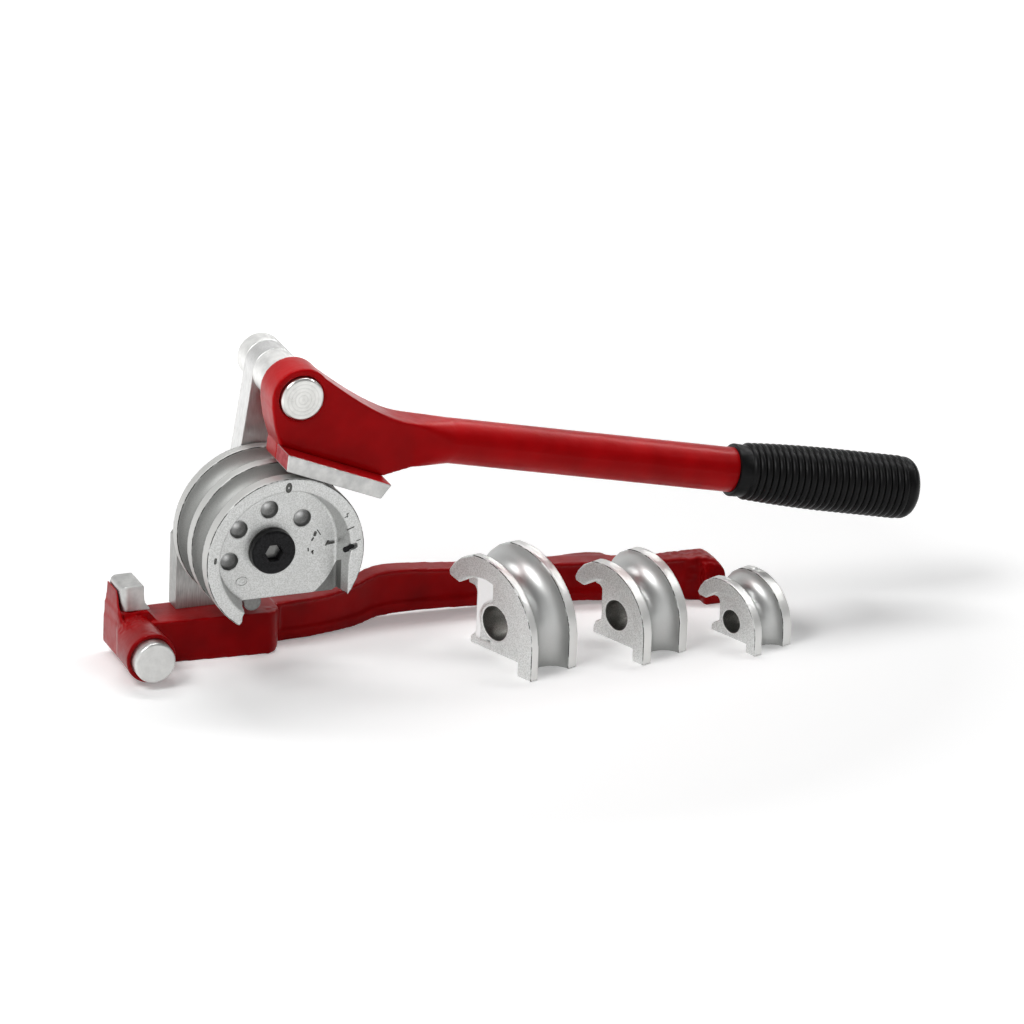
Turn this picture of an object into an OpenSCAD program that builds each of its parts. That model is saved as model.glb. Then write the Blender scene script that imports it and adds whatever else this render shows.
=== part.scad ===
// Tube bender: a fixed lower frame that carries a two-groove former,
// a link that swings about the former's spindle, a hand lever on the link's top pin,
// and three loose formers that stand on the bench in front of the frame.
// Lengths are in millimetres. X runs along the tool, Y runs away from the front, Z is up.
// The row origin is on the bench, under the spindle, at mid-depth of the frame's block.

/* [Former] */
// Radius over the rims of the mounted former
former_r = 50; // [47:0.5:52]
// Radius of its half-round tube grooves
groove_r = 9; // [7:0.25:9.5]
// Width of its front rim
rim_front = 9; // [8:0.25:10]
// Width of its middle and rear rims
rim_mid = 7.5; // [6.5:0.25:8.5]
// Depth of the recess in its front face
recess_depth = 16; // [13:0.5:18]
// Radial width of the front rim around the recess
rim_land = 8.5; // [7:0.5:12]
// Distance from the spindle axis down to the former's flat
flat_drop = 32.2; // [29:0.2:34]
// Radius of the round dimples in the web
dimple_r = 5.3; // [4:0.1:6]

/* [Spindle and bolt] */
// Height of the spindle axis above the bench
axis_height = 87.5; // [84:0.5:92]
// Radius of the spindle
spindle_r = 11; // [10.5:0.25:12]
// Radius of the bolt head
bolt_head_r = 13.8; // [12.5:0.1:14.6]
// Height of the bolt head
bolt_head_h = 6; // [4:0.25:8]
// Radius of the bolt's shank
bolt_r = 5; // [4:0.25:5.5]
// Width across the flats of the hex socket
socket_af = 10; // [8:0.5:11]
// Radius of the stop pin under the former's flat
stop_pin_r = 5.5; // [4.5:0.25:6]

/* [Link] */
// Distance from the spindle to the top pin
link_reach = 95.2; // [92:0.2:99]
// Lean of the link from upright
link_lean = 7.9; // [6:0.1:10]
// Thickness of the link plate
link_t = 15; // [13:0.5:17]
// Half width of the link's arm
link_half = 14.2; // [13:0.2:15]
// Radius of the link's lower eye
link_eye_r = 20; // [19:0.25:22]
// Wall of the bronze bushes
bush_wall = 2.5; // [2:0.1:3]
// Thickness of the thrust washers
washer_t = 1; // [0.8:0.1:1.5]

/* [Top pin] */
// Radius of the pin's head
pin_head_r = 13.5; // [12.5:0.25:14]
// Thickness of the pin's head
pin_head_t = 5.8; // [5:0.1:7]
// Radius of the pin's shank
pin_r = 9; // [8:0.25:9.5]
// How far the head stands out of the lever
pin_proud = 2.5; // [1.5:0.25:3.5]
// Length of the hub nut behind the link
hub_len = 13.5; // [12:0.25:16]

/* [Lever] */
// Thickness of the flat lever head
head_t = 22.5; // [20:0.5:24]
// Mid-plane of the lever behind the former's front rim
lever_mid = 26; // [25:0.5:27]
// Radius of the lever's boss round the top pin
boss_r = 18.5; // [17.5:0.25:20]
// Radius of the round handle
handle_r = 13.8; // [12.5:0.1:14.5]
// Length of the round handle, from the head to its end
handle_len = 313; // [290:1:350]
// Slope of the handle below level
handle_slope = 12.46; // [11.5:0.02:13]
// Thickness of the shoe plate
shoe_t = 10.2; // [8:0.2:11]
// Width of the shoe plate in front of the lever's foot
shoe_w = 20; // [18:0.5:22]
// Tilt of the shoe, where it rests on the rims to the right of the top
shoe_tilt = 22.3; // [21.5:0.1:23]

/* [Grip] */
// Length of the rubber grip
grip_len = 124; // [110:1:145]
// Radius over the grip's ribs
grip_r = 19.6; // [18.6:0.2:20.4]
// Radius over the first ribs, where the grip is thinnest
grip_neck_r = 16.8; // [16.4:0.2:18]
// Number of ribs
rib_count = 25; // [20:1:30]

/* [Frame] */
// Width of the frame's block, front to rear, in its middle
block_w = 30.2; // [28:0.2:32]
// Height of the block
block_h = 27; // [25:0.5:29]
// How far the block reaches to the left of the spindle
block_left = 78; // [74:0.5:82]
// How far the block reaches to the right of the spindle
block_right = 20; // [16:0.5:24]
// Thickness of the support plate
support_t = 12.5; // [11:0.25:14]
// Radius of the front boss
arm_r = 15.6; // [15:0.2:17]
// Radius of the pin in the boss
lower_pin_r = 12.8; // [11:0.2:13]
// How far that pin stands out
lower_pin_out = 7.5; // [5:0.5:9]
// Thickness of the bar
bar_t = 13; // [11:0.25:14]
// Height of the bar
bar_h = 25.4; // [23:0.2:26.6]

/* [Loose formers] */
// Radius over the rims of the large loose former
large_r = 47.2; // [45:0.2:49]
// Width of its tube groove
large_tube = 25.4; // [23:0.2:27]
// Radius of its bore
large_bore = 10.8; // [9.5:0.1:12]
// Height of its bore above the bench
large_rise = 18.9; // [18:0.1:21]
// Radius over the rims of the medium loose former
medium_r = 37.4; // [36:0.2:39]
// Width of its tube groove
medium_tube = 23.4; // [21:0.2:24.4]
// Radius of its bore
medium_bore = 9.4; // [8:0.1:10.2]
// Height of its bore above the bench
medium_rise = 17.2; // [16:0.1:18.4]
// Radius over the rims of the small loose former
small_r = 30.2; // [29:0.2:31.4]
// Width of its tube groove
small_tube = 18.2; // [16.6:0.2:19]
// Radius of its bore
small_bore = 7.2; // [6:0.1:7.6]
// Height of its bore above the bench
small_rise = 10.6; // [10:0.1:12]

/* [Hidden] */
$fn = 96;
hull_fn = 32;
fit = 0.05;
face_gap = 0.05;
rest_gap = 0.3;
eps = 1;
far = 400;

// Places along Y, from the front rim of the mounted former to the back
former_w = rim_front + 4 * groove_r + 2 * rim_mid;
groove_1 = rim_front + groove_r;
groove_2 = rim_front + 3 * groove_r + rim_mid;
link_front = former_w + washer_t + 2 * face_gap;
link_rear = link_front + link_t;
support_front = link_rear + washer_t + 2 * face_gap;
support_rear = support_front + support_t;
block_rear = support_rear;
block_front = block_rear - block_w;
block_lean = 4.1;
block_mid_x = -34;
upstand_out = -82.6;
block_mid = (block_front + block_rear) / 2;
lever_front = lever_mid - head_t / 2;
lever_rear = lever_mid + head_t / 2;
floor_z = -axis_height;
block_top = floor_z + block_h;

// Spindle and bolt
spindle_front = recess_depth + 10;
bush_r = spindle_r + fit + bush_wall;
// The bolt sits off the spindle's axis, so the former can't turn under it
bolt_at = [-3.8, -0.8];
head_front = recess_depth - washer_t - bolt_head_h;
bolt_end = spindle_front + 34;
spindle_head_t = 4;
spindle_head_r = spindle_r + 5;

// Top pin
pin_x = link_reach * sin(link_lean);
pin_z = link_reach * cos(link_lean);
head_seat = lever_front - pin_proud + pin_head_t + face_gap;
pin_bush_r = pin_r + fit + bush_wall;
ring_r = link_half;
hub_end = link_rear + hub_len;

// Shoe, foot and handle
foot_n = former_r + rest_gap;
foot_top = foot_n + shoe_t;
foot_left = -24.6;
foot_right = 47;
foot_bevel = 3.2;
handle_x = 107;
handle_drop = 21.2;
handle_z = foot_top + cos(handle_slope) * handle_r - handle_drop;
neck_x = 88;
grip_over = 6;
grip_start = handle_len - grip_len + grip_over;
grip_collar = 8.5;
grip_end_r = 7;
grip_taper = 70;
rib_gap = (grip_len - grip_collar - grip_end_r) / rib_count;
rib_r = rib_gap * 0.36;

// Frame
arm_x = -72;
arm_lift = 2;
arm_z = floor_z + arm_r + arm_lift;
arm_front = 31;
arm_rear_r = arm_r - 2.6;
lower_pin_len = 17;
seat_h = 34;
seat_z = floor_z + seat_h;
seat_front = 64;
stop_front = 66;
stop_rear = block_rear - 2;
elbow_x = 294;
leg_w = 14;
leg_front = 46.8;
leg_rise = 3.2;
channel_deep = 1.4;
plate_left = -40.5;
plate_right = 10;
plate_shoulder = -15;
plate_eye_r = 22;
screw_r = 3;
screw_head_r = 5;
screw_head_t = 6;
screw_x = [-28, -4];
stop_pin_x = -11;
stop_pin_front = 24;

// Loose formers: angle on the bench, and the bore's place on the front plane
loose_turn = -68;
large_at = [130.3, 12.9];
medium_at = [208.1, 7];
small_at = [281.1, -6.9];
loose_rear = 7;
loose_boss = 2.6;
// Width of the front rim, depth of the recess, angle of the claw, height and reach of the toe
large_form = [5.8, 14, 132, 8, 4.3];
medium_form = [7, 13, 138.5, 10.5, 6.4];
small_form = [6, 9.5, 142, 8, 6.4];
// The claw's outline: share of the radius, and angle from the claw's tip
claw = [[0.985, -32], [0.955, -20], [0.905, -9], [0.855, 0], [0.79, 1.5], [0.7, -3], [0.635, -8],
        [0.62, -13]];

// A point of a smooth curve between b and c, with a and d as neighbours
function curve_point(a, b, c, d, t) =
    0.5 * (2 * b + (c - a) * t + (2 * a - 5 * b + 4 * c - d) * t * t
           + (3 * b - a - 3 * c + d) * t * t * t);
function smooth(p, n = 5) =
    [for (i = [0:len(p) - 2], k = [0:n - 1])
        curve_point(p[max(i - 1, 0)], p[i], p[i + 1], p[min(i + 2, len(p) - 1)], k / n),
     p[len(p) - 1]];
// Points of an arc, from angle a0 to angle a1
function arc(c, r, a0, a1, n = 8) =
    [for (k = [0:n]) let (a = a0 + (a1 - a0) * k / n) [c[0] + r * cos(a), c[1] + r * sin(a)]];
function reversed(p) = [for (k = [len(p) - 1:-1:0]) p[k]];
function lifted(p, d) = [for (q = p) [q[0], q[1] + d]];
// A point given along the shoe and outwards from the spindle
function on_shoe(t, n) = [t * cos(shoe_tilt) + n * sin(shoe_tilt), n * cos(shoe_tilt) - t * sin(shoe_tilt)];
// Where the tangent from point p touches the circle of radius r round the spindle
function touch(p, r, side) = let (a = atan2(p[1], p[0]) + side * acos(r / norm(p))) r * [cos(a), sin(a)];

// From spindle-centred places to the row's frame
module place() translate([0, -block_mid, axis_height]) children();
// An outline drawn in X and Z, filled from y0 to y1
module slab(y0, y1) rotate([90, 0, 0]) translate([0, 0, -y1]) linear_extrude(height = y1 - y0) children();
// A round bar or cone along Y
module rod(r, y0, y1) translate([0, y0, 0]) rotate([-90, 0, 0]) cylinder(r = r, h = y1 - y0);
module cone(r0, r1, y0, y1) translate([0, y0, 0]) rotate([-90, 0, 0]) cylinder(r1 = r0, r2 = r1, h = y1 - y0);
// A profile in radius and Y, turned about the Y axis
module turned() rotate([-90, 0, 0]) rotate_extrude() children();
module at_pin() translate([pin_x, 0, pin_z]) children();
module at_bolt() translate([bolt_at[0], 0, bolt_at[1]]) children();

// Fixed pieces

bar_front = smooth([[0, 70], [22, 70], [40, 70.6], [58, 72.4], [76, 76], [98, 79], [150, 76.4], [208, 71],
                    [240, 65.6], [285, 57], [elbow_x + leg_w + 8, 52.8]]);
bar_low = smooth([[0, 0], [22, 0.6], [55, 1], [76, 1.8], [98, 5.4], [150, 5.2], [208, 3.2],
                  [262, 2], [285, 1.4], [elbow_x, 0], [elbow_x + leg_w + 8, 0]]);
bar_top = smooth([[0, 0], [22, 0.6], [55, 1.2], [76, 4.2], [98, 8.8], [150, 5.2], [208, 3.4],
                  [262, 2.2], [280, leg_rise], [elbow_x, leg_rise], [elbow_x + leg_w + 8, leg_rise]]);

// The bar seen from the front, from low above its underside to down below its top
module bar_band(low, down)
    slab(30, 120)
        translate([0, floor_z])
            polygon(concat(lifted(bar_low, low), reversed(lifted(bar_top, bar_h - down))));

module bar_plan(front, rear)
    translate([0, 0, floor_z - eps])
        linear_extrude(height = axis_height)
            polygon(concat(lifted(bar_front, front), reversed(lifted(bar_front, rear))));

module bar() {
    difference() {
        intersection() {
            bar_plan(0, bar_t);
            bar_band(0, 0);
            translate([0, 0, floor_z - eps]) cube([elbow_x + 4, far, far]);
        }
        intersection() {
            bar_plan(-eps, channel_deep);
            bar_band(bar_h * 0.27, bar_h * 0.08);
            translate([block_right + 4, 0, floor_z]) cube([elbow_x - block_right - 14, far, far]);
        }
    }
    intersection() {
        translate([0, 0, floor_z - eps])
            linear_extrude(height = axis_height)
                polygon([[168, 82], [208, 76], [240, 70], [242.4, 77.3], [239.6, 84.2], [233, 86.6],
                         [223, 87.2], [208, 85.8]]);
        bar_band(2, 0.3);
    }
}

module leg() {
    leg_top = bar_h + leg_rise;
    shoulder_r = 11;
    fall_r = 15;
    turn_r = 11;
    right = elbow_x + leg_w;
    rear = 57.5 + bar_t;
    difference() {
        translate([0, 0, floor_z])
            linear_extrude(height = leg_top)
                polygon(concat([[elbow_x - 8, rear - bar_t + 1], [elbow_x, rear - bar_t - 2],
                                [elbow_x, leg_front + 3]],
                               arc([elbow_x + 3, leg_front + 3], 3, 180, 270, 4),
                               arc([right - 3, leg_front + 3], 3, 270, 360, 4),
                               arc([right - turn_r, rear - turn_r], turn_r, 0, 90),
                               [[elbow_x - 8, rear + 1.2]]));
        translate([elbow_x - 9, 0, floor_z + leg_top - fall_r])
            difference() {
                translate([0, leg_front - eps, 0]) cube([leg_w + 12, fall_r + eps, fall_r + eps]);
                translate([-eps, leg_front + fall_r, 0])
                    rotate([0, 90, 0]) cylinder(r = fall_r, h = leg_w + 14);
            }
        translate([right - shoulder_r, leg_front - eps, floor_z + leg_top - shoulder_r])
            difference() {
                cube([shoulder_r + eps, far, shoulder_r + eps]);
                translate([0, -eps, 0]) rotate([-90, 0, 0]) cylinder(r = shoulder_r, h = far + 2 * eps);
            }
    }
}

// Front of the block, which leans forward to the right
function block_face(x) = block_front - (x - block_mid_x) * tan(block_lean);

module block() {
    corner_r = 6;
    edge_r = 8;
    intersection() {
        slab(block_face(block_right) - eps, block_rear)
            polygon(concat([[-block_left, block_top], [-block_left, floor_z + 6], [-block_left + 6, floor_z]],
                           arc([block_right - corner_r, floor_z + corner_r], corner_r, 270, 360),
                           [[block_right, block_top]]));
        translate([0, 0, floor_z - eps])
            linear_extrude(height = block_h + 2 * eps)
                polygon(concat([[-far, block_face(-far)]],
                               arc([block_right - edge_r, block_face(block_right) + edge_r], edge_r,
                                   270 - block_lean, 360),
                               [[block_right, block_rear], [-far, block_rear]]));
    }
}

module upstand() {
    inner = -79.6;
    outer = upstand_out;
    upstand_h = 47.2;
    intersection() {
        slab(block_front - 16, block_rear)
            polygon([[outer, floor_z + 7], [inner, floor_z + 5], [inner, floor_z + upstand_h],
                     [inner - 0.8, floor_z + upstand_h - 1], [outer + 1.2, floor_z + upstand_h - 14]]);
        translate([-100, 0, 0])
            rotate([90, 0, 90])
                linear_extrude(height = 40)
                    polygon([[block_rear, floor_z], [block_rear, floor_z + upstand_h],
                             [block_rear - 17, floor_z + upstand_h - 0.4], [block_rear - 19.6, floor_z + 44],
                             [block_rear - 22, floor_z + 38], [block_rear - 30, floor_z + 31],
                             [block_rear - 44, floor_z + 26], [block_rear - 45, floor_z]]);
    }
}

// The boss that carries the lower pin, flush with the upstand on its left
module arm()
    intersection() {
        translate([arm_x, 0, arm_z]) cone(arm_r, arm_rear_r, arm_front, block_rear);
        translate([0, 0, floor_z - eps])
            linear_extrude(height = axis_height)
                polygon([[arm_x - arm_r - eps, arm_front - eps], [0, arm_front - eps], [0, block_rear + eps],
                         [upstand_out, block_rear + eps], [upstand_out, seat_front],
                         [arm_x - arm_r - eps, seat_front - 18]]);
    }

module frame() {
    color("#9c0f14")
        place()
            difference() {
                union() {
                    block();
                    arm();
                    slab(seat_front, block_rear)
                        polygon([[-82, floor_z + 20], [-82, seat_z], [-62.5, seat_z], [-56, floor_z + 26]]);
                    upstand();
                    bar();
                    leg();
                }
                translate([arm_x, 0, arm_z])
                    rod(lower_pin_r + fit, arm_front - eps, arm_front + lower_pin_len);
                for (x = screw_x)
                    translate([x, (support_front + support_rear) / 2, floor_z - eps]) {
                        cylinder(r = screw_r + fit, h = block_h + 2 * eps);
                        cylinder(r = screw_head_r + fit * 4, h = screw_head_t + 2 + eps);
                    }
            }
}

module stop_block() {
    top = floor_z + 50.2;
    left = -79.2;
    corner_r = 5;
    color("#cfcfcd")
        place()
            intersection() {
                slab(stop_front, stop_rear)
                    polygon(concat([[-78, seat_z], [-61.5, seat_z], [-61, seat_z + 0.9],
                                    [-62.4, seat_z + 2.4], [-64.2, seat_z + 5], [-64.8, seat_z + 8]],
                                   arc([-66.2, top - 1.2], 1.2, 0, 90, 3),
                                   arc([left + 4, top - 4], 4, 90, 180, 6),
                                   [[left, seat_z + 8]]));
                translate([0, 0, seat_z - eps])
                    linear_extrude(height = top - seat_z + 2 * eps)
                        polygon(concat(arc([left + corner_r, stop_front + corner_r], corner_r, 180, 270, 6),
                                       [[left + 30, stop_front], [left + 30, stop_rear], [left, stop_rear]]));
            }
}

module lower_pin() {
    edge = 1;
    front = arm_front - lower_pin_out;
    color("#d4d4d2")
        place()
            translate([arm_x, 0, arm_z]) {
                cone(lower_pin_r - edge, lower_pin_r, front, front + edge);
                rod(lower_pin_r, front + edge, arm_front + lower_pin_len - 0.2);
            }
}

module support_plate() {
    left = [plate_left, plate_shoulder];
    right = [plate_right, block_top];
    color("#bdbdbb")
        place()
            difference() {
                slab(support_front, support_rear)
                    union() {
                        polygon([[plate_left, block_top], right, touch(right, plate_eye_r, 1), [0, 0],
                                 touch(left, plate_eye_r, -1), left]);
                        circle(r = plate_eye_r);
                    }
                rod(spindle_r + fit, support_front - eps, support_rear + eps);
                translate([stop_pin_x, 0, -flat_drop - rest_gap - stop_pin_r])
                    rod(stop_pin_r + fit, support_front - eps, support_rear + eps);
                for (x = screw_x)
                    translate([x, (support_front + support_rear) / 2, block_top - eps])
                        cylinder(r = screw_r + fit, h = 12 + eps);
            }
}

module support_screws() {
    color("#3a3a3c")
        place()
            for (x = screw_x)
                translate([x, (support_front + support_rear) / 2, floor_z + 2]) {
                    difference() {
                        cylinder(r = screw_head_r, h = screw_head_t);
                        translate([0, 0, -eps]) cylinder(r = 2.9, h = 3 + eps, $fn = 6);
                    }
                    cylinder(r = screw_r, h = block_h + 9);
                }
}

module spindle() {
    color("#a9a9a8")
        place()
            difference() {
                union() {
                    rod(spindle_r, spindle_front, support_rear + face_gap);
                    cone(spindle_head_r, spindle_head_r - 1, support_rear, support_rear + spindle_head_t);
                }
                at_bolt() rod(bolt_r + fit, spindle_front - eps, bolt_end + 2);
            }
}

module stop_pin() {
    color("#777776")
        place()
            translate([stop_pin_x, 0, -flat_drop - rest_gap - stop_pin_r]) {
                cone(stop_pin_r - 0.8, stop_pin_r, stop_pin_front, stop_pin_front + 0.8);
                rod(stop_pin_r, stop_pin_front + 0.8, support_rear);
            }
}

// What is cut away below the flat of the mounted former, and right of its horn
module former_cut() {
    horn_in = -26.2;
    fillet = 4.4;
    polygon(concat([[horn_in - 1.8, -far], [horn_in - 1.8, -former_r * 0.82],
                    [horn_in - 0.4, -former_r * 0.79], [horn_in, -former_r * 0.76]],
                   arc([horn_in + fillet, -flat_drop - fillet], fillet, 180, 90),
                   [[former_r * 0.73, -flat_drop - 0.4], [former_r * 0.83, -former_r * 0.565],
                    [far, former_r * 4], [far, -far]]));
}

// The grooves run round the former, and straight down on its right
module former_grooves()
    for (y = [groove_1, groove_2]) {
        difference() {
            turned() translate([former_r, y]) circle(r = groove_r);
            translate([0, -eps, -far]) cube([far, far, far]);
        }
        translate([former_r, y, -far]) cylinder(r = groove_r, h = far + eps);
    }

module former_double() {
    open_r = former_r - rim_land;
    web_r = open_r - 3.3;
    wall_x = open_r - 1;
    dimple_deep = 3;
    notch_end = former_r - 4.4;
    notch_half = 1.8;
    notch_len = 10;
    notch_deep = 3.5;
    color("#c3c4c3")
        place()
            difference() {
                rod(former_r, 0, former_w);
                former_grooves();
                slab(-eps, former_w + eps) former_cut();
                cone(open_r + (open_r - web_r) * eps / recess_depth, web_r, -eps, recess_depth);
                translate([0, 0, -former_r])
                    linear_extrude(height = former_r)
                        polygon([[0, -eps], [wall_x, -eps], [web_r, recess_depth], [0, recess_depth]]);
                rod(spindle_r + fit, spindle_front - 0.2, former_w + eps);
                at_bolt() rod(bolt_r + 0.3, 0, former_w);
                for (p = [[-29.6, -6], [-24, 13.9], [-4.9, 24.5], [16.1, 16.6]])
                    translate([p[0], recess_depth, p[1]]) {
                        rod(dimple_r, -eps, dimple_deep);
                        translate([0, dimple_deep, 0]) sphere(r = dimple_r);
                    }
                translate([notch_end, 0, notch_half])
                    rotate([0, -16, 0])
                        translate([-notch_len, -eps, -notch_half])
                            cube([notch_len, notch_deep + eps, 2 * notch_half]);
            }
}

module bolt_washer() {
    color("#4a4a4b")
        place()
            at_bolt()
                difference() {
                    rod(bolt_head_r + 0.4, recess_depth - washer_t, recess_depth);
                    rod(bolt_r + 0.3, recess_depth - washer_t - eps, recess_depth + eps);
                }
}

module former_bolt() {
    edge = 1;
    socket_deep = bolt_head_h * 0.75;
    color("#1c1c1e")
        place()
            at_bolt()
                difference() {
                    union() {
                        cone(bolt_head_r - edge, bolt_head_r, head_front, head_front + edge);
                        rod(bolt_head_r, head_front + edge, head_front + bolt_head_h);
                        rod(bolt_r, head_front + edge, bolt_end);
                    }
                    translate([0, head_front - eps, 0])
                        rotate([-90, 0, 0])
                            cylinder(r = socket_af / 2 / cos(30), h = socket_deep + eps, $fn = 6);
                }
}

// Pieces that swing about the spindle

module thrust_washer(front) {
    color("#b08d4a")
        place()
            difference() {
                rod(link_eye_r - 3, front, front + washer_t);
                rod(spindle_r + fit, front - eps, front + washer_t + eps);
            }
}

module front_washer() thrust_washer(former_w + face_gap);

module rear_washer() thrust_washer(link_rear + face_gap);

module spindle_bush() {
    color("#b08d4a")
        place()
            difference() {
                rod(bush_r, link_front, link_rear);
                rod(spindle_r + fit, link_front - eps, link_rear + eps);
            }
}

module link_plate() {
    color("#cbccca")
        place()
            difference() {
                slab(link_front, link_rear)
                    union() {
                        circle(r = link_eye_r);
                        rotate(-link_lean) translate([-link_half, 0]) square([2 * link_half, link_reach]);
                        translate([pin_x, pin_z]) circle(r = link_half);
                    }
                rod(bush_r + fit, link_front - eps, link_rear + eps);
                at_pin() rod(pin_r + fit, link_front - eps, link_rear + eps);
            }
}

module top_pin() {
    edge = 1.2;
    front = lever_front - pin_proud;
    color("#d8d8d6")
        place()
            at_pin() {
                cone(pin_head_r - edge, pin_head_r, front, front + edge);
                rod(pin_head_r, front + edge, front + pin_head_t);
                rod(pin_r, front + edge, hub_end - 2);
            }
}

module spacer_ring() {
    color("#dededc")
        place()
            at_pin()
                difference() {
                    rod(ring_r, lever_rear + face_gap, link_front);
                    rod(pin_r + fit, lever_rear, link_front + eps);
                }
}

module hub_nut() {
    edge = 1;
    color("#dededc")
        place()
            at_pin()
                difference() {
                    union() {
                        rod(ring_r, link_rear, hub_end - edge);
                        cone(ring_r, ring_r - edge, hub_end - edge, hub_end);
                    }
                    rod(pin_r + fit, link_rear - eps, hub_end - 1.9);
                }
}

// Pieces that swing about the top pin

module lever_bush() {
    color("#b08d4a")
        place()
            at_pin()
                difference() {
                    rod(pin_bush_r, head_seat, lever_rear);
                    rod(pin_r + fit, head_seat - eps, lever_rear + eps);
                }
}

// The flat head, above the line of the foot
module head_outline() {
    union() {
        translate([pin_x, pin_z]) circle(r = boss_r);
        polygon(concat([[pin_x - boss_r, pin_z - 4], [pin_x - boss_r + 2, pin_z - 17],
                        [pin_x - boss_r + 4, pin_z - 24], on_shoe(foot_left, foot_top),
                        on_shoe(foot_right - 1, foot_top)],
                       smooth([on_shoe(foot_right, foot_top), [76.8, handle_z - 12.6],
                               [neck_x + 2, handle_z - 10.2]], 4),
                       smooth([[neck_x + 2, handle_z + 15.7], [76, handle_z + 19.9], [62.8, pin_z - 14.8],
                               [49.8, pin_z - 6.2], [36.8, pin_z + 3.7],
                               [pin_x + (boss_r - 0.6) * cos(52), pin_z + (boss_r - 0.6) * sin(52)]], 4)));
    }
}

module handle_run() translate([handle_x, lever_mid, handle_z]) rotate([0, 90 + handle_slope, 0]) children();

module lever() {
    foot = [on_shoe(foot_left + foot_bevel, foot_n), on_shoe(foot_right - foot_bevel, foot_n),
            on_shoe(foot_right, foot_top), on_shoe(foot_right - 2, foot_top + 1),
            on_shoe(foot_left + 2, foot_top + 1), on_shoe(foot_left, foot_top)];
    neck_start = 3.5;
    color("#a50f15")
        place()
            difference() {
                union() {
                    slab(lever_front, lever_rear) head_outline();
                    slab(shoe_w, lever_rear) polygon(foot);
                    hull() {
                        slab(lever_front + 0.1, lever_rear - 0.1)
                            polygon([[neck_x - 4, handle_z - 11], [neck_x + 1, handle_z - 10.1],
                                     [neck_x + 1, handle_z + 15.8], [neck_x - 4, handle_z + 16.8]]);
                        handle_run()
                            translate([0, 0, neck_start])
                                cylinder(r = handle_r - 0.15, h = 3, $fn = hull_fn);
                    }
                    handle_run()
                        translate([0, 0, neck_start + 1])
                            cylinder(r = handle_r, h = handle_len - neck_start - 1);
                }
                at_pin() rod(pin_bush_r + fit, head_seat - eps, lever_rear + eps);
                at_pin() rod(pin_head_r + 0.5, lever_front - eps, head_seat);
            }
}

module shoe() {
    color("#c9c9c7")
        place()
            slab(0, shoe_w)
                polygon([on_shoe(foot_left + foot_bevel, foot_n), on_shoe(foot_right - foot_bevel, foot_n),
                         on_shoe(foot_right, foot_top), on_shoe(foot_left, foot_top)]);
}

// Radius over the ribs at a distance along the grip, thinner towards the collar
function grip_swell(t) =
    let (s = min(t / grip_taper, 1)) grip_neck_r + (grip_r - grip_neck_r) * s * (2 - s);

module grip() {
    rib_at = [for (k = [0:rib_count - 1]) grip_collar + rib_gap * (k + 0.5)];
    color("#161617")
        place()
            handle_run()
                translate([0, 0, grip_start])
                    rotate_extrude()
                        difference() {
                            union() {
                                square([grip_neck_r - 0.4, grip_collar]);
                                polygon(concat([[0, grip_collar - eps],
                                                [grip_neck_r - rib_r * 0.6, grip_collar - eps]],
                                               [for (t = rib_at) [grip_swell(t) - rib_r * 0.6, t]],
                                               [[grip_r - rib_r * 0.6, grip_len - grip_end_r],
                                                [0, grip_len - grip_end_r]]));
                                translate([0, grip_len - grip_end_r - eps])
                                    square([grip_r - grip_end_r, grip_end_r + eps]);
                                intersection() {
                                    translate([grip_r - grip_end_r, grip_len - grip_end_r])
                                        circle(r = grip_end_r);
                                    square([grip_r, grip_len]);
                                }
                                for (t = rib_at)
                                    translate([grip_swell(t) - rib_r, t]) circle(r = rib_r, $fn = 24);
                            }
                            square([handle_r + fit, handle_len - grip_start + face_gap]);
                        }
}

// Loose formers

function claw_points(r, tip, from, to) =
    [for (k = [from:to]) r * claw[k][0] * [cos(tip + claw[k][1]), sin(tip + claw[k][1])]];

// What is cut away on the open side, between the claw and the toe
module loose_cut(r, rise, form)
    polygon(concat([[-r * 2, r * 2], r * 1.05 * [cos(form[2] - 42), sin(form[2] - 42)]],
                   claw_points(r, form[2], 0, 4),
                   [[-0.5 * r, 0.41 * r]], arc([-0.44 * r, 0.32 * r], 0.09 * r, 80, 0, 4),
                   [[-0.35 * r, form[3] - rise], [-0.35 * r - form[4] * 0.7, form[3] - 2.6 - rise],
                    [-0.35 * r - form[4], form[3] * 0.4 - rise], [-0.35 * r - form[4], -rise - eps],
                    [-r * 2, -rise - eps]]));

// The recess inside the front rim, open below and to the left
module loose_open(r, rise, form) {
    in_r = 0.66 * r;
    mid = [0.08, 0.05] * r;
    translate(mid) circle(r = in_r);
    polygon([[-2 * r, -rise - eps], [mid[0] + in_r, -rise - eps], [mid[0] + in_r, mid[1]], [-2 * r, mid[1]]]);
    polygon(concat(claw_points(r, form[2], 4, 7), [mid, [-2 * r, 0], [-2 * r, 0.3 * r]]));
}

// Half section in radius and width, with the tube groove
module loose_section(r, tube, rim_1, w)
    difference() {
        square([r, w]);
        translate([r, rim_1 + tube / 2]) circle(r = tube / 2);
    }

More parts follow.
